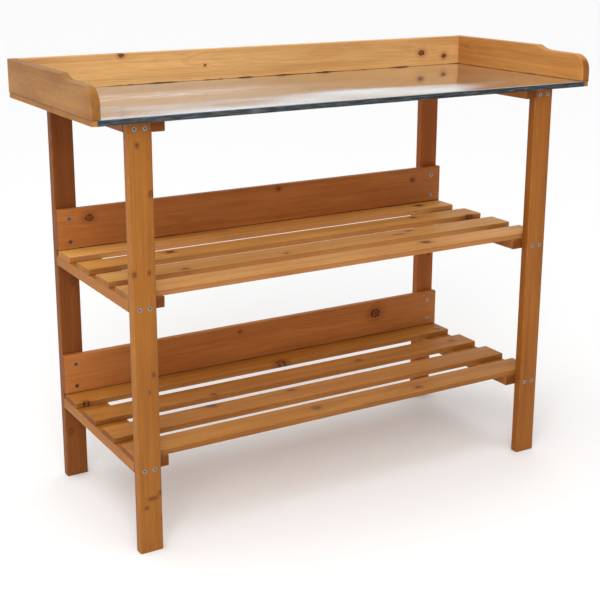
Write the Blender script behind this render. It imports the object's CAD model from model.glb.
import random
from math import pi

import bpy
from mathutils import Matrix, Vector


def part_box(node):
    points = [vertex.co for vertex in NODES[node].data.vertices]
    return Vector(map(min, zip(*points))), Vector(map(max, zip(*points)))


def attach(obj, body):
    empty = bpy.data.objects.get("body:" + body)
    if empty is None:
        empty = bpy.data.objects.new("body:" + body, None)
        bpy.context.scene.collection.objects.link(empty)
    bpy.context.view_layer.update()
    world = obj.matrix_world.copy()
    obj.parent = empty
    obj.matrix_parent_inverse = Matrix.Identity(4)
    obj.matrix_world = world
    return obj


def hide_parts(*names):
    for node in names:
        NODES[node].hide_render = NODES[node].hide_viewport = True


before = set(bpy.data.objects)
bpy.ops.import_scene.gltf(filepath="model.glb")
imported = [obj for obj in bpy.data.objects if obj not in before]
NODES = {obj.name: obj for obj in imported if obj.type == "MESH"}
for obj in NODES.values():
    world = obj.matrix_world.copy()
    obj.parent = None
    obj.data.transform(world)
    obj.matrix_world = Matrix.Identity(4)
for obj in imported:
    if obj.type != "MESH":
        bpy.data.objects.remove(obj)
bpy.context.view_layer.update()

# The looks of a potting bench: oiled, orange-stained fir, a galvanised worktop and zinc-plated screws.
# Everything is in metres: X along the bench, Y from its front to its back, Z up from the floor.

MM = 0.001
SIDES = ("left", "right")
SHELVES = ("low", "mid")
LEVELS = (*SHELVES, "top")


# ------------------------------------------------------------------ wiring materials
def plug(tree, socket, value):
    """Joins a socket to another node's output, or sets its own value."""
    if isinstance(value, bpy.types.NodeSocket):
        tree.links.new(value, socket)
    else:
        socket.default_value = value


def add(tree, kind, settings=None, **inputs):
    """A node with its settings and its named inputs.

    An underscore in an input's name stands for a space."""
    node = tree.nodes.new(kind)
    for name, value in (settings or {}).items():
        setattr(node, name, value)
    for name, value in inputs.items():
        plug(tree, node.inputs[name.replace("_", " ")], value)
    return node


def maths(tree, operation, *values):
    """The result of a sum on one, two or three numbers."""
    node = add(tree, "ShaderNodeMath", {"operation": operation})
    for socket, value in zip(node.inputs, values):
        plug(tree, socket, value)
    return node.outputs[0]


def vectors(tree, operation, *values):
    """The result of a sum on vectors: a number for a length or a dot product, else a vector."""
    node = add(tree, "ShaderNodeVectorMath", {"operation": operation})
    for socket, value in zip(node.inputs, values):
        plug(tree, socket, value)
    return node.outputs["Value" if operation in ("LENGTH", "DOT_PRODUCT") else "Vector"]


def cloudy(tree, place, stretch, detail=2.0, roughness=0.5, output="Factor"):
    """Noise whose grains are one over stretch long in each direction, in metres."""
    scaled = vectors(tree, "MULTIPLY", place, stretch)
    node = add(tree, "ShaderNodeTexNoise", Vector=scaled, Scale=1.0, Detail=detail, Roughness=roughness)
    return node.outputs[0 if output == "Factor" else 1]


def fade(tree, value, start, end, low=0.0, high=1.0):
    """Goes smoothly from low to high while value goes from start to end."""
    node = add(tree, "ShaderNodeMapRange", {"interpolation_type": "SMOOTHSTEP"}, Value=value)
    for name, number in (("From Min", start), ("From Max", end), ("To Min", low), ("To Max", high)):
        plug(tree, node.inputs[name], number)
    return node.outputs["Result"]


def grade(tree, value, *stops):
    """A colour band: each stop is a place from 0 to 1 and a colour."""
    ramp = add(tree, "ShaderNodeValToRGB", Fac=value)
    band = ramp.color_ramp.elements
    while len(band) < len(stops):
        band.new(0.5)
    for element, (position, colour) in zip(band, stops):
        element.position = position
        element.color = (*colour, 1.0)
    return ramp.outputs["Color"]


def lay(tree, share, under, over, blend="MIX"):
    """Lays a colour over another one, by a share from 0 to 1."""
    node = add(tree, "ShaderNodeMix", {"data_type": "RGBA", "blend_type": blend})
    plug(tree, node.inputs[0], share)
    plug(tree, node.inputs[6], under if isinstance(under, bpy.types.NodeSocket) else (*under, 1.0))
    plug(tree, node.inputs[7], over if isinstance(over, bpy.types.NodeSocket) else (*over, 1.0))
    return node.outputs[2]


def multiply(tree, colour, other):
    """One colour multiplied by another."""
    return lay(tree, 1.0, colour, other, "MULTIPLY")


def offset(tree, value, middle):
    """How far a number is from a middle one, either way."""
    return maths(tree, "ABSOLUTE", maths(tree, "SUBTRACT", value, middle))


def grey(tree, value):
    """A number as a grey colour, to multiply another colour by."""
    return add(tree, "ShaderNodeCombineColor", Red=value, Green=value, Blue=value).outputs["Color"]


def new_finish(name):
    """An empty material, its tree and its surface shader, already joined to the output."""
    material = bpy.data.materials.new(name)
    material.use_nodes = True
    tree = material.node_tree
    tree.nodes.clear()
    surface = add(tree, "ShaderNodeBsdfPrincipled")
    output = add(tree, "ShaderNodeOutputMaterial")
    tree.links.new(surface.outputs["BSDF"], output.inputs["Surface"])
    return material, tree, surface


def relief(tree, surface, height, depth, strength):
    """Gives a surface relief of that depth, in metres, and of that strength, from 0 to 1."""
    bump = add(tree, "ShaderNodeBump", Height=height, Distance=depth, Strength=strength)
    tree.links.new(bump.outputs["Normal"], surface.inputs["Normal"])


# ------------------------------------------------------------------ stained fir
SPRING_WOOD = (0.405, 0.142, 0.018)
SUMMER_WOOD = (0.235, 0.062, 0.006)
RUBBED_WOOD = (0.52, 0.25, 0.085)
KNOT_HEART = (0.045, 0.013, 0.006)
KNOT_WOOD = (0.210, 0.070, 0.022)
KNOT_BARK = (0.045, 0.014, 0.007)
END_STAIN = (0.52, 0.42, 0.38)
DEEP_STAIN = (0.78, 0.66, 0.52)
GRIME = (0.050, 0.020, 0.010)
KNOT_HALO = (0.62, 0.48, 0.42)
KNOT_SWELL = 4 * MM
PITH_WANDER = 16 * MM
RING_WIDTH = 2.5 * MM
SUMMER_WOOD_OVER_A_YEAR = (
    (0.0, 0.55), (0.10, 0.02), (0.45, 0.10), (0.72, 0.42), (0.93, 1.0), (1.0, 0.55),
)


def growth_rings(group, given, patch):
    """How much summer wood shows at a point, from 0 to 1.

    The rings stand round a pith that leans and wanders, and are pushed out round each knot."""
    wander = cloudy(group, patch, (2.6, 8.0, 8.0), output="Color")
    wander = vectors(group, "SUBTRACT", wander, (0.5, 0.5, 0.5))
    wander = vectors(group, "MULTIPLY", wander, (0.0, PITH_WANDER, PITH_WANDER))
    along = add(group, "ShaderNodeSeparateXYZ", Vector=given["Place"]).outputs["X"]
    lean = vectors(group, "SCALE", given["Lean"])
    plug(group, lean.node.inputs["Scale"], along)
    from_pith = vectors(group, "SUBTRACT", given["Place"], given["Pith"])
    from_pith = vectors(group, "ADD", from_pith, lean)
    from_pith = vectors(group, "ADD", from_pith, wander)
    radius = vectors(group, "LENGTH", vectors(group, "MULTIPLY", from_pith, (0.0, 1.0, 1.0)))
    near_knot = maths(group, "MULTIPLY", maths(group, "POWER", given["Knot"], 2.0), -0.16)
    radius = maths(group, "MULTIPLY_ADD", maths(group, "EXPONENT", near_knot), KNOT_SWELL, radius)
    ring = maths(group, "DIVIDE", radius, given["Ring Width"])
    ring = maths(group, "MULTIPLY_ADD", cloudy(group, patch, (14.0, 120.0, 120.0)), 0.55, ring)
    stops = [(season, (share,) * 3) for season, share in SUMMER_WOOD_OVER_A_YEAR]
    summer = grade(group, maths(group, "FRACT", ring), *stops)
    year = maths(group, "FLOOR", ring)
    year = add(group, "ShaderNodeTexWhiteNoise", {"noise_dimensions": "1D"}, W=year)
    summer = maths(group, "MULTIPLY", summer, fade(group, year.outputs["Value"], 0.0, 1.0, 0.35, 1.0))
    return maths(group, "MULTIPLY", summer, given["Contrast"])


def stained_wood(group, given, patch, summer, grain):
    """The colour of clear wood: rings, blotches that drink more stain, bands, strands and hairs."""
    bands = cloudy(group, patch, (1.1, 60.0, 60.0))
    blotches = cloudy(group, patch, (4.5, 17.0, 17.0), detail=3.0)
    colour = lay(group, summer, SPRING_WOOD, SUMMER_WOOD)
    depth_of_stain = maths(group, "MULTIPLY", fade(group, blotches, 0.38, 0.66), given["Blotching"])
    colour = lay(group, depth_of_stain, colour, multiply(group, colour, DEEP_STAIN))
    colour = multiply(group, colour, grey(group, fade(group, bands, 0.25, 0.75, 0.90, 1.10)))
    colour = multiply(group, colour, grey(group, fade(group, grain["strands"], 0.25, 0.75, 0.89, 1.10)))
    colour = multiply(group, colour, grey(group, fade(group, grain["hairs"], 0.20, 0.80, 0.89, 1.09)))
    colour = lay(group, maths(group, "MULTIPLY", grain["flecks"], 0.30), colour, SUMMER_WOOD)
    return multiply(group, colour, given["Tint"])


def set_in_knots(group, colour, knot, is_knot):
    """Knots: a dark heart, red-brown wood in rings of its own, a rim of bark and a stained halo."""
    inner_rings = maths(group, "SINE", maths(group, "MULTIPLY", knot, 24.0))
    stops = (0.0, KNOT_HEART), (0.22, KNOT_WOOD), (0.66, KNOT_WOOD), (0.86, KNOT_BARK)
    inside = grade(group, knot, *stops)
    inside = multiply(group, inside, grey(group, fade(group, inner_rings, -1.0, 1.0, 0.82, 1.15)))
    halo = maths(group, "MULTIPLY", fade(group, knot, 3.2, 1.0), 0.62)
    colour = lay(group, halo, colour, multiply(group, colour, KNOT_HALO))
    return lay(group, is_knot, colour, inside)


def rubbed_share(group, patch, edge):
    """How much of the stain is rubbed off at a point near an edge."""
    scuffs = cloudy(group, patch, (38.0, 90.0, 90.0), detail=3.0, roughness=0.65)
    width = fade(group, scuffs, 0.35, 0.80, 0.2 * MM, 2.6 * MM)
    rubbed = fade(group, maths(group, "SUBTRACT", edge, width), 0.9 * MM, -1.2 * MM)
    return maths(group, "MULTIPLY", rubbed, 0.26)


def sum_of(group, first, *rest):
    """A number plus shares of other ones: each of rest is a value and its share."""
    total = first
    for value, share in rest:
        total = maths(group, "MULTIPLY_ADD", value, share, total)
    return total


def fir_group():
    """Stained fir: growth rings, fibres, blotches, knots and rubbed edges, as one group for every timber.

    Place is in the timber's own frame, in metres: X along it, Y across its width, Z through it.
    Knot is the distance from the nearest knot's middle, where 1 is its rim."""
    group = bpy.data.node_groups.new("stained_fir", "ShaderNodeTree")
    sockets = (
        ("Place", "Vector"), ("Patch", "Vector"), ("Pith", "Vector"), ("Lean", "Vector"),
        ("Ring Width", "Float"), ("Contrast", "Float"), ("Knot", "Float"), ("Edge", "Float"),
        ("End Grain", "Float"), ("Tint", "Color"), ("Blotching", "Float"), ("Grime", "Float"),
    )
    for name, kind in sockets:
        group.interface.new_socket(name=name, in_out="INPUT", socket_type=f"NodeSocket{kind}")
    for name, kind in (("Colour", "Color"), ("Roughness", "Float"), ("Height", "Float")):
        group.interface.new_socket(name=name, in_out="OUTPUT", socket_type=f"NodeSocket{kind}")
    given = add(group, "NodeGroupInput").outputs
    end = given["End Grain"]
    patch = vectors(group, "ADD", given["Place"], given["Patch"])

    summer = growth_rings(group, given, patch)
    fleck_noise = cloudy(group, patch, (60.0, 900.0, 900.0), detail=1.0)
    grain = {
        "strands": cloudy(group, patch, (7.0, 420.0, 420.0), detail=3.0, roughness=0.6),
        "hairs": cloudy(group, patch, (34.0, 2100.0, 2100.0), detail=1.0),
        "flecks": fade(group, fleck_noise, 0.68, 0.76),
    }
    colour = stained_wood(group, given, patch, summer, grain)

    ragged = cloudy(group, patch, (260.0, 260.0, 260.0))
    knot = maths(group, "ADD", given["Knot"], fade(group, ragged, 0.2, 0.8, -0.22, 0.22))
    is_knot = fade(group, knot, 1.16, 0.98)
    colour = set_in_knots(group, colour, knot, is_knot)

    # End grain drinks the stain; edges lose some of it.
    colour = lay(group, end, colour, multiply(group, colour, END_STAIN))
    rubbed = rubbed_share(group, patch, given["Edge"])
    colour = lay(group, rubbed, colour, RUBBED_WOOD)
    colour = lay(group, given["Grime"], colour, GRIME)

    roughness = fade(group, grain["strands"], 0.2, 0.8, 0.44, 0.58)
    roughness = sum_of(group, roughness, (summer, -0.07), (is_knot, -0.10), (end, 0.14), (rubbed, 0.20))

    rim_crack = maths(group, "MULTIPLY", fade(group, knot, 0.82, 0.98), fade(group, knot, 1.20, 1.02))
    height = maths(group, "MULTIPLY", grain["strands"], 0.45)
    others = (summer, 0.35), (grain["hairs"], 0.22), (grain["flecks"], -0.20), (rim_crack, -0.90)
    height = sum_of(group, height, *others)

    out = add(group, "NodeGroupOutput")
    for name, socket in (("Colour", colour), ("Roughness", roughness), ("Height", height)):
        plug(group, out.inputs[name], socket)
    return group


def own_frame(along, across):
    """A timber's own frame as a turn: its X runs along it, its Y across its width."""
    axes = {"X": Vector((1, 0, 0)), "Y": Vector((0, 1, 0)), "Z": Vector((0, 0, 1))}
    first, second = axes[along], axes[across]
    return Matrix((first, second, first.cross(second))).transposed().to_euler()


def in_frame(tree, coordinates, centre, turn, size=(1.0, 1.0, 1.0)):
    """Coordinates in a frame of their own: centred, turned, and measured in that size."""
    node = add(tree, "ShaderNodeMapping", {"vector_type": "TEXTURE"}, Vector=coordinates)
    node.inputs["Location"].default_value = centre
    node.inputs["Rotation"].default_value = turn
    node.inputs["Scale"].default_value = size
    return node.outputs["Vector"]


def fir(
    node_name, along, across, pith, lean, tint, knots=(),
    blotching=0.5, contrast=0.42, seam=None, thirst=1.0, sawn_edge=(1.0, 1.0, 1.0),
):
    """The finish of one timber: which way it lies, where its pith ran, its tint and its knots.

    A knot is its place, its width (or its half length and half width) and the way its branch grew,
    with its reach if it ends within the timber. Knots and piths are in millimetres.
    seam is where dirt gathers above a joint: its height, the least and the most the dirt reaches.
    thirst is how much of the stain its end grain drinks; sawn_edge tints its narrow side faces."""
    low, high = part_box(node_name)
    centre = (low + high) / 2
    turn = own_frame(along, across)
    half = (high - low) / 2
    half = Vector(abs(value) for value in turn.to_matrix().transposed() @ half)
    dice = random.Random(node_name)
    material, tree, surface = new_finish(f"{node_name}_fir")
    coordinates = add(tree, "ShaderNodeTexCoord").outputs["Object"]
    place = in_frame(tree, coordinates, centre, turn)

    nearest = None
    for where, width, branch, *reach in knots:
        knot_turn = own_frame(along, "XYZ".replace(along, "").replace(branch, ""))
        long, wide = width if isinstance(width, tuple) else (width * 0.62, width * 0.46)
        size = (long * MM, wide * MM, reach[0] * MM if reach else 1.0)
        here = in_frame(tree, coordinates, Vector(where) * MM, knot_turn, size)
        away = vectors(tree, "LENGTH", here)
        nearest = away if nearest is None else maths(tree, "MINIMUM", nearest, away)

    inset = vectors(tree, "SUBTRACT", half, vectors(tree, "ABSOLUTE", place))
    parts = add(tree, "ShaderNodeSeparateXYZ", Vector=inset).outputs
    smaller = maths(tree, "MINIMUM", parts["X"], parts["Y"])
    larger = maths(tree, "MAXIMUM", parts["X"], parts["Y"])
    edge = maths(tree, "MAXIMUM", smaller, maths(tree, "MINIMUM", larger, parts["Z"]))
    normal = add(tree, "ShaderNodeNewGeometry").outputs["Normal"]
    lengthwise = Vector([float(axis == along) for axis in "XYZ"])
    facing = maths(tree, "ABSOLUTE", vectors(tree, "DOT_PRODUCT", normal, lengthwise))
    end = fade(tree, facing, 0.60, 0.90, 0.0, thirst)
    sideways = Vector([float(axis == across) for axis in "XYZ"])
    facing = maths(tree, "ABSOLUTE", vectors(tree, "DOT_PRODUCT", normal, sideways))
    edge_tint = [part * share for part, share in zip(tint, sawn_edge)]
    stain = lay(tree, fade(tree, facing, 0.60, 0.90), tint, edge_tint)

    wood = add(tree, "ShaderNodeGroup", {"node_tree": FIR}, Place=place, Edge=edge, End_Grain=end)
    for name, value in (
        ("Patch", [dice.uniform(2, 90) for _ in range(3)]),
        ("Pith", (0.0, pith[0] * MM, pith[1] * MM)),
        ("Lean", (0.0, lean[0], lean[1])),
        ("Ring Width", RING_WIDTH * dice.uniform(0.85, 1.15)),
        ("Contrast", contrast),
        ("Tint", stain),
        ("Blotching", blotching),
        ("Grime", 0.0 if seam is None else seam_dirt(tree, coordinates, *seam)),
        ("Knot", 9.0 if nearest is None else nearest),
    ):
        plug(tree, wood.inputs[name], value)
    plug(tree, surface.inputs["Base Color"], wood.outputs["Colour"])
    plug(tree, surface.inputs["Roughness"], wood.outputs["Roughness"])
    surface.inputs["Specular IOR Level"].default_value = 0.14
    relief(tree, surface, wood.outputs["Height"], 0.35 * MM, 0.7)
    dress(node_name, material)


def seam_dirt(tree, coordinates, height, least, most):
    """A thin, uneven dark line just above a seam at that height."""
    uneven = cloudy(tree, coordinates, (17.0, 17.0, 60.0), detail=3.0, roughness=0.6)
    above = add(tree, "ShaderNodeSeparateXYZ", Vector=coordinates).outputs["Z"]
    reach = fade(tree, uneven, 0.46, 0.68, height + least, height + most)
    return fade(tree, maths(tree, "SUBTRACT", above, reach), 0.3 * MM, -0.3 * MM, 0.0, 0.9)


def dress(node_name, material):
    """Puts one material on the whole of a piece."""
    slots = NODES[node_name].data.materials
    slots.clear()
    slots.append(material)


FIR = fir_group()

BASE_BOARD_TINT = (0.98, 1.22, 2.1)
BEARER_TINT = (0.88, 0.92, 1.12)
LEG_TINTS = {
    "leg_front_left": (0.79, 0.83, 1.08),
    "leg_front_right": (0.73, 0.71, 0.83),
    "leg_back_left": (0.50, 0.43, 0.60),
    "leg_back_right": (0.84, 0.68, 0.74),
}
MID_SLAT_TINTS = ((1.95, 3.0, 6.6), (1.63, 2.35, 4.2), (1.50, 2.15, 4.1), (1.56, 2.25, 4.7))
MID_SLAT_EDGES = (0.60, 0.50, 0.58)
LOW_SLAT_TINTS = ((1.06, 1.26, 1.80), (1.02, 1.20, 1.72), (1.02, 1.24, 1.75), (0.99, 1.22, 1.75))
LOW_SLAT_EDGES = (0.72, 0.66, 0.80)
BOARD_TINT = (1.12, 1.16, 2.3)
LEFT_PANEL_TINT = (0.86, 1.14, 2.4)
RIGHT_PANEL_TINT = (1.25, 1.52, 2.9)
BACK_PANEL_TINT = (1.72, 2.60, 7.4)
LEG_KNOTS = {
    "leg_front_left": (
        ((-417, -172, 698), 5), ((-396, -172, 619), 6), ((-428, -172, 491), 5), ((-403, -172, 491), 4),
        ((-400, -172, 317), 4), ((-408, -172, 288), 3), ((-408, -172, 98), (2.2, 5.5)),
        ((-399, -172, 102), 2), ((-392, -172, 106), (3.0, 3.5)), ((-420, -172, 83), (2.0, 2.6)),
        ((-392, -172, 58), 3),
    ),
    "leg_front_right": (),
    "leg_back_left": (((-404, 178, 390), 7), ((-422, 178, 92), 6)),
    "leg_back_right": (((420, 178, 331), 4),),
}
LEG_PITHS = {
    "leg_front_left": (34, -30),
    "leg_front_right": (-48, 22),
    "leg_back_left": (12, 40),
    "leg_back_right": (-20, -36),
}
for leg, pith in LEG_PITHS.items():
    knots = [(where, width, "Y") for where, width in LEG_KNOTS[leg]]
    fir(leg, "Z", "X", pith, (0.010, -0.006), LEG_TINTS[leg], knots, contrast=0.22)

for level in LEVELS:
    for side, pith in zip(SIDES, ((20, -38), (-14, 33))):
        fir(f"{level}_bearer_{side}", "Y", "X", pith, (-0.02, 0.012), BEARER_TINT, contrast=0.3)

SLAT_KNOTS = {
    "mid_slat_1": (((363, 143, 454), 13, "Z"),),
    "mid_slat_2": (((-260, 58, 454), 13, "Z"), ((287, 59, 454), 9, "Z"), ((402, 21.5, 450), 12, "Y", 5)),
    "mid_slat_3": (
        ((-81, -55, 454), 7, "Z"), ((-372, -30, 454), 8, "Z"), ((-285, -59, 454), 9, "Z"),
        ((178, -42, 454), (10, 2.2), "Z"), ((212, -30, 454), (7, 2.4), "Z"),
    ),
    "mid_slat_4": (((187, -117, 454), 14, "Z"),),
    "low_slat_1": (((9, 119, 173), 15, "Z"), ((413, 128, 173), 8, "Z"), ((-412, 117, 173), 9, "Z")),
    "low_slat_2": (((151, 47, 173), 9, "Z"), ((-190, 28, 173), 7, "Z"), ((391, 50, 173), 8, "Z")),
    "low_slat_3": (((-220, -20, 173), 13, "Z"), ((-51, -26, 173), (8, 2.6), "Z")),
    "low_slat_4": (((-57, -125, 173), 11, "Z"), ((167, -135, 173), 9, "Z")),
}
SLAT_PITHS = ((6, -44), (-22, 38), (14, -58), (-4, 47))
SLAT_STAINS = {"low": (LOW_SLAT_TINTS, LOW_SLAT_EDGES), "mid": (MID_SLAT_TINTS, MID_SLAT_EDGES)}
for level, (tints, edges) in SLAT_STAINS.items():
    for number, (pith, tint) in enumerate(zip(SLAT_PITHS, tints), start=1):
        slat = f"{level}_slat_{number}"
        knots = SLAT_KNOTS.get(slat, ())
        fir(slat, "X", "Y", pith, (0.012, 0.014), tint, knots, contrast=0.27, sawn_edge=edges)

BOARD_KNOTS = {
    "mid_back_board": (((-372, 165, 510), 12, "Y"), ((30, 165, 522), 7, "Y"), ((361, 165, 506), 7, "Y")),
    "low_back_board": (((272, 165, 222), 19, "Y"), ((-60, 165, 236), 5, "Y")),
}
for board, knots in BOARD_KNOTS.items():
    shelf_seam = (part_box(board)[0].z, 1.6 * MM, 2.4 * MM)
    fir(board, "X", "Z", (-8, -52), (0.010, 0.012), BOARD_TINT, knots, contrast=0.25, seam=shelf_seam)

BACK_PANEL_KNOTS = (
    ((-292, 180, 801), 8, "Y"), ((-122, 180, 774), 4, "Y"),
    ((386, 180, 773), 11, "Y"), ((445, 180, 764), 9, "Y"),
)
SHEET_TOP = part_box("galvanised_sheet")[1].z
BROKEN_SEAM = (SHEET_TOP, 0.2 * MM, 2.0 * MM)
WHOLE_SEAM = (SHEET_TOP, 0.5 * MM, 1.2 * MM)
fir(
    "back_panel", "X", "Z", (10, 60), (0.012, 0.016), BACK_PANEL_TINT, BACK_PANEL_KNOTS,
    contrast=0.28, seam=BROKEN_SEAM,
)
fir(
    "side_panel_left", "Y", "Z", (-14, 48), (0.03, 0.02), LEFT_PANEL_TINT,
    blotching=1.0, seam=BROKEN_SEAM, thirst=0.3,
)
fir(
    "side_panel_right", "Y", "Z", (18, -46), (0.02, 0.03), RIGHT_PANEL_TINT,
    contrast=0.28, seam=WHOLE_SEAM,
)
fir("worktop_base_board", "X", "Y", (40, -70), (0.02, 0.015), BASE_BOARD_TINT, thirst=0.3)


# ------------------------------------------------------------------ metal
GREY_ZINC = (0.70, 0.765, 0.81)
BRIGHT_ZINC = (0.76, 0.825, 0.87)
ZINC_BLOOM = (0.80, 0.85, 0.90)
MILKY_ZINC = (0.80, 0.83, 0.85)
LIP_TARNISH = (
    (0.36, (0.022, 0.025, 0.028)),
    (0.52, (0.058, 0.064, 0.068)),
    (0.66, (0.15, 0.162, 0.170)),
)
SHEET_WAVE = 4.0 * MM
RUBBED_BAND_Y = 25 * MM
CROWN_X = 80 * MM


def sheet_shine(tree, place, streaks, bloom, rubbed):
    """The sheet's metal: streaked, spangled, bluish where it has bloomed and milky where rubbed."""
    spangle = add(
        tree, "ShaderNodeTexVoronoi", {"feature": "SMOOTH_F1"}, Vector=place, Scale=62.0, Smoothness=0.35
    )
    crystals = add(tree, "ShaderNodeSeparateColor", Color=spangle.outputs["Color"]).outputs[0]
    shine = grade(tree, streaks, (0.25, GREY_ZINC), (0.75, BRIGHT_ZINC))
    shine = multiply(tree, shine, grey(tree, fade(tree, crystals, 0.0, 1.0, 0.96, 1.03)))
    shine = lay(tree, bloom, shine, multiply(tree, shine, ZINC_BLOOM))
    return lay(tree, rubbed, shine, MILKY_ZINC)


def rubbed_band(tree, place, parts):
    """How much the sheet is rubbed: short streaks in a band along its left half."""
    rubs = cloudy(tree, place, (13.0, 120.0, 120.0), detail=4.0, roughness=0.65)
    across = fade(tree, offset(tree, parts["Y"], RUBBED_BAND_Y), 55 * MM, 10 * MM)
    along = fade(tree, parts["X"], 100 * MM, -250 * MM)
    band = maths(tree, "MULTIPLY", across, along)
    return maths(tree, "MULTIPLY", band, fade(tree, rubs, 0.36, 0.60))


def sheet_height(tree, place, parts, streaks):
    """The sheet's wave, its crown in the middle, and its fine scratches and streaks."""
    wave = cloudy(tree, place, (3.0, 5.0, 5.0), detail=1.0)
    scratches = cloudy(tree, place, (9.0, 1500.0, 1500.0))
    height = sum_of(tree, wave, (scratches, 0.003), (streaks, 0.022))
    crown_along = fade(tree, offset(tree, parts["X"], CROWN_X), 450 * MM, 0.0)
    crown_across = fade(tree, offset(tree, parts["Y"], 0.0), 190 * MM, 0.0)
    return maths(tree, "ADD", maths(tree, "MULTIPLY", crown_along, crown_across), height)


def galvanised():
    """Hot-dipped sheet: soft spangle and streaks, a wave and a slight crown, a white bloom
    towards its left end, rubbed streaks there, and a duller, darker lip."""
    material, tree, surface = new_finish("galvanised_sheet_zinc")
    place = add(tree, "ShaderNodeTexCoord").outputs["Object"]
    parts = add(tree, "ShaderNodeSeparateXYZ", Vector=place).outputs
    streaks = cloudy(tree, place, (5.0, 95.0, 95.0), detail=4.0, roughness=0.6)
    haze = cloudy(tree, place, (3.2, 13.0, 13.0), detail=5.0, roughness=0.62)
    tarnish = cloudy(tree, place, (30.0, 260.0, 420.0), detail=4.0, roughness=0.7)
    bloom = fade(tree, maths(tree, "MULTIPLY_ADD", streaks, -0.35, parts["X"]), 150 * MM, -550 * MM)
    rubbed = rubbed_band(tree, place, parts)
    lip = fade(tree, parts["Z"], SHEET_TOP - 0.4 * MM, SHEET_TOP - 1.2 * MM)

    shine = sheet_shine(tree, place, streaks, bloom, rubbed)
    plug(tree, surface.inputs["Base Color"], lay(tree, lip, shine, grade(tree, tarnish, *LIP_TARNISH)))
    roughness = sum_of(tree, fade(tree, haze, 0.45, 0.70, 0.05, 0.15), (streaks, 0.05), (lip, 0.16))
    plug(tree, surface.inputs["Roughness"], roughness)
    metal = sum_of(tree, fade(tree, bloom, 0.0, 1.0, 0.93, 0.72), (rubbed, -0.45))
    plug(tree, surface.inputs["Metallic"], metal)
    relief(tree, surface, sheet_height(tree, place, parts, streaks), SHEET_WAVE, 0.8)
    dress("galvanised_sheet", material)


def zinc_plate():
    """The screws' zinc plate, a little dull and uneven."""
    material, tree, surface = new_finish("screw_zinc_plate")
    place = add(tree, "ShaderNodeTexCoord").outputs["Object"]
    uneven = cloudy(tree, place, (420.0, 420.0, 420.0), detail=3.0)
    colour = grade(tree, uneven, (0.3, (0.17, 0.17, 0.175)), (0.7, (0.34, 0.34, 0.35)))
    plug(tree, surface.inputs["Base Color"], colour)
    plug(tree, surface.inputs["Roughness"], fade(tree, uneven, 0.2, 0.8, 0.20, 0.38))
    surface.inputs["Metallic"].default_value = 1.0
    relief(tree, surface, uneven, 0.03 * MM, 0.5)
    return material


def recess_grime():
    """Dark dirt and shadow down in the cross recess of a screw."""
    material, tree, surface = new_finish("screw_recess_grime")
    place = add(tree, "ShaderNodeTexCoord").outputs["Object"]
    uneven = cloudy(tree, place, (700.0, 700.0, 700.0))
    colour = grade(tree, uneven, (0.3, (0.008, 0.007, 0.006)), (0.7, (0.032, 0.028, 0.025)))
    plug(tree, surface.inputs["Base Color"], colour)
    plug(tree, surface.inputs["Roughness"], fade(tree, uneven, 0.2, 0.8, 0.55, 0.80))
    return material


galvanised()


# ------------------------------------------------------------------ screws
HEAD_SIDES = 28
HEAD_RADIUS = 4.0 * MM
HEAD_RIM = 0.35 * MM
HEAD_DEPTH = 2.3 * MM
NECK_RADIUS = 1.9 * MM
CORE_RADIUS = 1.35 * MM
TIP_RADIUS = 0.15 * MM
SHANK_SHARE = 0.4
NECK_STEP = 0.8 * MM
POINT_LENGTH = 4.5 * MM
THREADED_POINT = 0.7 * POINT_LENGTH
RECESS_SPAN = 4.6 * MM
RECESS_ARM = 1.6 * MM
RECESS_DEPTH = 1.5 * MM
RECESS_RIM = 0.15 * MM
RECESS_REACH = 2.27 * MM
THREAD_PITCH = 1.8 * MM
THREAD_STEPS = 14
RIDGE_RADIUS = 0.42 * MM
RIDGE_STAND = 0.2 * MM
SOFT_EDGE = 0.09 * MM
SMOOTH_BELOW = 0.6
HAIR = 0.02 * MM


def pick_faces(piece, test):
    """Goes into edit mode with just the faces that pass a test selected."""
    bpy.ops.object.mode_set(mode="EDIT")
    bpy.ops.mesh.select_mode(type="FACE")
    bpy.ops.mesh.select_all(action="DESELECT")
    bpy.ops.object.mode_set(mode="OBJECT")
    for face in piece.data.polygons:
        face.select = test(face)
    bpy.ops.object.mode_set(mode="EDIT")


def draw_down(from_height, to_height, taper):
    """Extrudes the selected end face straight down and scales it."""
    fall = (0.0, 0.0, to_height - from_height)
    bpy.ops.mesh.extrude_region_move(TRANSFORM_OT_translate={"value": fall})
    bpy.ops.transform.resize(value=(taper, taper, 1.0), center_override=(0.0, 0.0, to_height))


def apply_modifier(piece, kind, **settings):
    """Adds a modifier to the active piece with its settings and applies it."""
    modifier = piece.modifiers.new(kind.lower(), kind)
    for name, value in settings.items():
        setattr(modifier, name, value)
    bpy.ops.object.modifier_apply(modifier=modifier.name)


def make_active(piece):
    """Selects one piece alone."""
    bpy.ops.object.select_all(action="DESELECT")
    piece.select_set(True)
    bpy.context.view_layer.objects.active = piece


def recess_cutter(turn):
    """One tapered arm of the cross recess, to be cut from a screw's head."""
    bpy.ops.object.select_all(action="DESELECT")
    bpy.ops.mesh.primitive_cube_add(size=1.0, location=(0.0, 0.0, 0.0))
    arm = bpy.context.object
    bpy.ops.object.mode_set(mode="EDIT")
    bpy.ops.mesh.select_all(action="SELECT")
    size = (RECESS_SPAN, RECESS_ARM, 2 * RECESS_DEPTH)
    bpy.ops.transform.resize(value=size, center_override=(0.0, 0.0, 0.0))
    pick_faces(arm, lambda face: face.normal.z < -0.9)
    bpy.ops.transform.resize(value=(0.40, 0.75, 1.0), center_override=(0.0, 0.0, -RECESS_DEPTH))
    bpy.ops.mesh.select_all(action="SELECT")
    bpy.ops.transform.rotate(value=turn, orient_axis="Z", center_override=(0.0, 0.0, 0.0))
    bpy.ops.object.mode_set(mode="OBJECT")
    return arm


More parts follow.
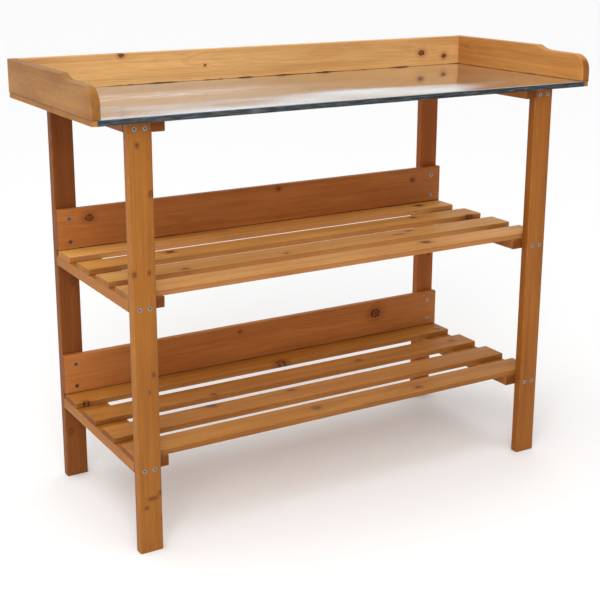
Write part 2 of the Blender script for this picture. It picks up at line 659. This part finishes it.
def make_thread(top, bottom):
    """The thread: one three-sided ridge wound down the screw's core, its ends closed."""
    bpy.ops.object.select_all(action="DESELECT")
    start = (CORE_RADIUS + RIDGE_STAND, 0.0, bottom)
    bpy.ops.mesh.primitive_circle_add(
        vertices=3, radius=RIDGE_RADIUS, location=start, rotation=(pi / 2, pi / 2, 0.0)
    )
    ridge = bpy.context.object
    bpy.ops.object.transform_apply(location=True, rotation=True, scale=True)
    turns = round((top - bottom) / THREAD_PITCH)
    apply_modifier(
        ridge, "SCREW", axis="Z", screw_offset=THREAD_PITCH, iterations=turns,
        steps=THREAD_STEPS, render_steps=THREAD_STEPS, use_merge_vertices=False,
    )
    bpy.ops.object.mode_set(mode="EDIT")
    bpy.ops.mesh.select_mode(type="EDGE")
    bpy.ops.mesh.select_all(action="DESELECT")
    bpy.ops.mesh.select_non_manifold()
    bpy.ops.mesh.edge_face_add()
    bpy.ops.mesh.select_all(action="SELECT")
    bpy.ops.mesh.normals_make_consistent(inside=False)
    bpy.ops.object.mode_set(mode="OBJECT")
    return ridge


def make_wood_screw(length):
    """A countersunk wood screw, its head's face at the origin and its point below."""
    shank_end = -length * SHANK_SHARE
    core_top = shank_end - NECK_STEP
    core_end = POINT_LENGTH - length
    bpy.ops.object.select_all(action="DESELECT")
    bpy.ops.mesh.primitive_cylinder_add(
        vertices=HEAD_SIDES, radius=HEAD_RADIUS, depth=HEAD_RIM, location=(0.0, 0.0, -HEAD_RIM / 2)
    )
    screw = bpy.context.object
    bpy.ops.object.transform_apply(location=True, rotation=True, scale=True)
    pick_faces(screw, lambda face: face.normal.z < -0.9)
    draw_down(-HEAD_RIM, -HEAD_DEPTH, NECK_RADIUS / HEAD_RADIUS)
    draw_down(-HEAD_DEPTH, shank_end, 1.0)
    draw_down(shank_end, core_top, CORE_RADIUS / NECK_RADIUS)
    draw_down(core_top, core_end, 1.0)
    draw_down(core_end, -length, TIP_RADIUS / CORE_RADIUS)
    bpy.ops.object.mode_set(mode="OBJECT")
    for turn in (0.0, pi / 2):
        arm = recess_cutter(turn)
        make_active(screw)
        apply_modifier(screw, "BOOLEAN", operation="DIFFERENCE", object=arm, solver="EXACT")
        bpy.data.objects.remove(arm, do_unlink=True)
    apply_modifier(
        screw, "BEVEL", width=SOFT_EDGE, segments=2, limit_method="ANGLE", angle_limit=SMOOTH_BELOW
    )
    bpy.ops.object.shade_smooth_by_angle(angle=SMOOTH_BELOW)
    for material in (ZINC_PLATE, RECESS_GRIME):
        screw.data.materials.append(material)
    pick_faces(screw, in_recess)
    screw.active_material_index = 1
    bpy.ops.object.material_slot_assign()
    bpy.ops.object.mode_set(mode="OBJECT")
    ridge = make_thread(core_top, THREADED_POINT - length)
    ridge.data.materials.append(ZINC_PLATE)
    make_active(screw)
    ridge.select_set(True)
    bpy.ops.object.join()
    return screw


def in_recess(face):
    """Whether a face of a screw's head lies in its cross recess, below the rim."""
    return -RECESS_DEPTH - HAIR < face.center.z < -RECESS_RIM and face.center.xy.length < RECESS_REACH


def set_screws(node_name, length, heads, outward):
    """Copies of one screw, its length in millimetres, with the middle of each head's face at a
    point of heads. Each stopped turning at an angle of its own."""
    dice = random.Random(node_name)
    pattern = make_wood_screw(length * MM)
    upright = Vector(outward).to_track_quat("Z", "Y").to_matrix().to_4x4()
    copies = []
    for head in map(Vector, heads):
        copy = pattern.copy()
        copy.data = pattern.data.copy()
        bpy.context.scene.collection.objects.link(copy)
        stop = Matrix.Rotation(dice.uniform(0.0, pi), 4, "Z")
        copy.data.transform(Matrix.Translation(head) @ upright @ stop)
        copies.append(copy)
    bpy.data.objects.remove(pattern, do_unlink=True)
    make_active(copies[0])
    for copy in copies:
        copy.select_set(True)
    bpy.ops.object.join()
    group = bpy.context.object
    group.name = node_name.replace("_screws", "_cross_head_screws")
    group.data.name = group.name
    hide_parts(node_name)
    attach(group, "root")


def underside(node_name):
    """The height of a piece's underside."""
    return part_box(node_name)[0].z


def middle(node_name):
    """The middle of a piece's box."""
    low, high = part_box(node_name)
    return (low + high) / 2


ZINC_PLATE = zinc_plate()
RECESS_GRIME = recess_grime()
FRONT, BACK, DOWN = (0, -1, 0), (0, 1, 0), (0, 0, -1)

# Legs to bearers: two screws side by side at each joint.
LEG_SCREW_STEP = 9 * MM
LEG_SCREW_RISE = 7 * MM
leg_middles = [middle(f"leg_front_{side}").x for side in SIDES]
leg_screw_xs = [x + step for x in leg_middles for step in (-LEG_SCREW_STEP, LEG_SCREW_STEP)]
leg_screw_zs = [underside(f"{level}_bearer_left") + LEG_SCREW_RISE for level in LEVELS]
for legs, y, outward in (
    ("front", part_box("leg_front_left")[0].y, FRONT),
    ("back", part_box("leg_back_left")[1].y - HAIR / 2, BACK),
):
    heads = [(x, y, z) for x in leg_screw_xs for z in leg_screw_zs]
    set_screws(f"{legs}_leg_screws", 50, heads, outward)

# Back boards to back legs: two screws, one over the other, at each end.
BOARD_SCREW_INSET = 22.5 * MM
BOARD_SCREW_RISES = (14.5 * MM, 58 * MM)
board_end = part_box("low_back_board")[1].x - BOARD_SCREW_INSET
board_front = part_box("low_back_board")[0].y
board_screw_zs = [
    underside(f"{level}_back_board") + rise for level in SHELVES for rise in BOARD_SCREW_RISES
]
board_screws = [(x, board_front, z) for x in (-board_end, board_end) for z in board_screw_zs]
set_screws("back_board_screws", 28, board_screws, FRONT)

# Bearers to slats and to the worktop, from below.
BEARER_SCREW_INSET = 16 * MM
WORKTOP_SCREW_INSET = 81 * MM
bearer_screw_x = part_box("top_bearer_right")[0].x + BEARER_SCREW_INSET
slat_screw_ys = [middle(f"low_slat_{number}").y for number in (4, 3, 2, 1)]
slat_screw_zs = [underside(f"{level}_bearer_left") for level in SHELVES]
slat_screws = [
    (x, y, z) for x in (-bearer_screw_x, bearer_screw_x) for y in slat_screw_ys for z in slat_screw_zs
]
set_screws("slat_screws", 27, slat_screws, DOWN)
bearer_low, bearer_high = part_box("top_bearer_left")
worktop_screw_ys = (
    bearer_low.y + WORKTOP_SCREW_INSET, middle("top_bearer_left").y, bearer_high.y - WORKTOP_SCREW_INSET
)
worktop_screws = [
    (x, y, bearer_low.z) for x in (-bearer_screw_x, bearer_screw_x) for y in worktop_screw_ys
]
set_screws("worktop_screws", 26, worktop_screws, DOWN)

# Base board to the side and back panels, from below.
SIDE_PANEL_SCREW_Y = 149 * MM
BACK_PANEL_SCREW_XS = (-300 * MM, -100 * MM, 100 * MM, 300 * MM)
board_underside = underside("worktop_base_board")
panel_screws = [
    (middle(f"side_panel_{side}").x, y, board_underside)
    for side in SIDES for y in (-SIDE_PANEL_SCREW_Y, 0.0, SIDE_PANEL_SCREW_Y)
]
panel_screws += [(x, middle("back_panel").y, board_underside) for x in BACK_PANEL_SCREW_XS]
set_screws("panel_screws", 30, panel_screws, DOWN)


# ------------------------------------------------------------------ studio
def make_floor():
    """A plain pale floor, far wider than the view."""
    bpy.ops.object.select_all(action="DESELECT")
    bpy.ops.mesh.primitive_plane_add(size=90.0, location=(0.0, 0.0, 0.0))
    floor = bpy.context.object
    floor.name = "studio_floor"
    material, tree, surface = new_finish("floor_paper")
    surface.inputs["Base Color"].default_value = (0.84, 0.84, 0.84, 1.0)
    surface.inputs["Roughness"].default_value = 0.9
    surface.inputs["Specular IOR Level"].default_value = 0.1
    floor.data.materials.append(material)


def make_surroundings():
    """A soft studio: white behind the bench, darker in front of it, and a little dimmer overhead."""
    world = bpy.data.worlds.new("studio")
    world.use_nodes = True
    tree = world.node_tree
    tree.nodes.clear()
    towards = add(tree, "ShaderNodeTexCoord").outputs["Generated"]
    parts = add(tree, "ShaderNodeSeparateXYZ", Vector=towards).outputs
    backdrop = fade(tree, parts["Y"], -0.35, 0.35, 0.32, 1.05)
    overhead = fade(tree, parts["Z"], 0.35, 0.75, 1.0, 0.85)
    brightness = maths(tree, "MULTIPLY", backdrop, overhead)
    background = add(tree, "ShaderNodeBackground", Color=grey(tree, brightness))
    background.inputs["Strength"].default_value = 1.0
    output = add(tree, "ShaderNodeOutputWorld")
    tree.links.new(background.outputs["Background"], output.inputs["Surface"])
    bpy.context.scene.world = world


def make_sun(name, towards, strength, spread):
    """A far, broad lamp that lights the whole floor alike and isn't mirrored in the metal."""
    lamp = bpy.data.lights.new(name, "SUN")
    lamp.energy = strength
    lamp.angle = spread
    lamp_object = bpy.data.objects.new(name, lamp)
    bpy.context.scene.collection.objects.link(lamp_object)
    lamp_object.rotation_euler = Vector(towards).to_track_quat("-Z", "Y").to_euler()
    lamp_object.visible_glossy = False


def make_softbox(name, place, aim, width, power):
    """A square soft lamp close to the bench."""
    lamp = bpy.data.lights.new(name, "AREA")
    lamp.size = width
    lamp.energy = power
    lamp_object = bpy.data.objects.new(name, lamp)
    bpy.context.scene.collection.objects.link(lamp_object)
    lamp_object.location = place
    lamp_object.rotation_euler = (Vector(aim) - Vector(place)).to_track_quat("-Z", "Y").to_euler()


def make_camera():
    """The camera, a little above the worktop, looking at the bench from its left front."""
    lens = bpy.data.cameras.new("camera")
    lens.lens = 72.06
    lens.sensor_width = 36.0
    lens.shift_x = 0.03
    lens.shift_y = -0.08
    camera = bpy.data.objects.new("camera", lens)
    bpy.context.scene.collection.objects.link(camera)
    camera.location = (-1.147, -1.875, 1.015)
    aim = Vector((0.0, 0.099, 0.410)) - camera.location
    camera.rotation_euler = aim.to_track_quat("-Z", "Y").to_euler()
    bpy.context.scene.camera = camera


make_floor()
make_surroundings()
make_sun("room_light", towards=(0.30, 0.45, -1.0), strength=1.9, spread=1.4)
make_softbox("key_light", place=(-1.55, -2.25, 2.15), aim=(0.0, 0.0, 0.6), width=1.7, power=47.0)
make_camera()
bpy.context.scene.view_settings.view_transform = "Standard"
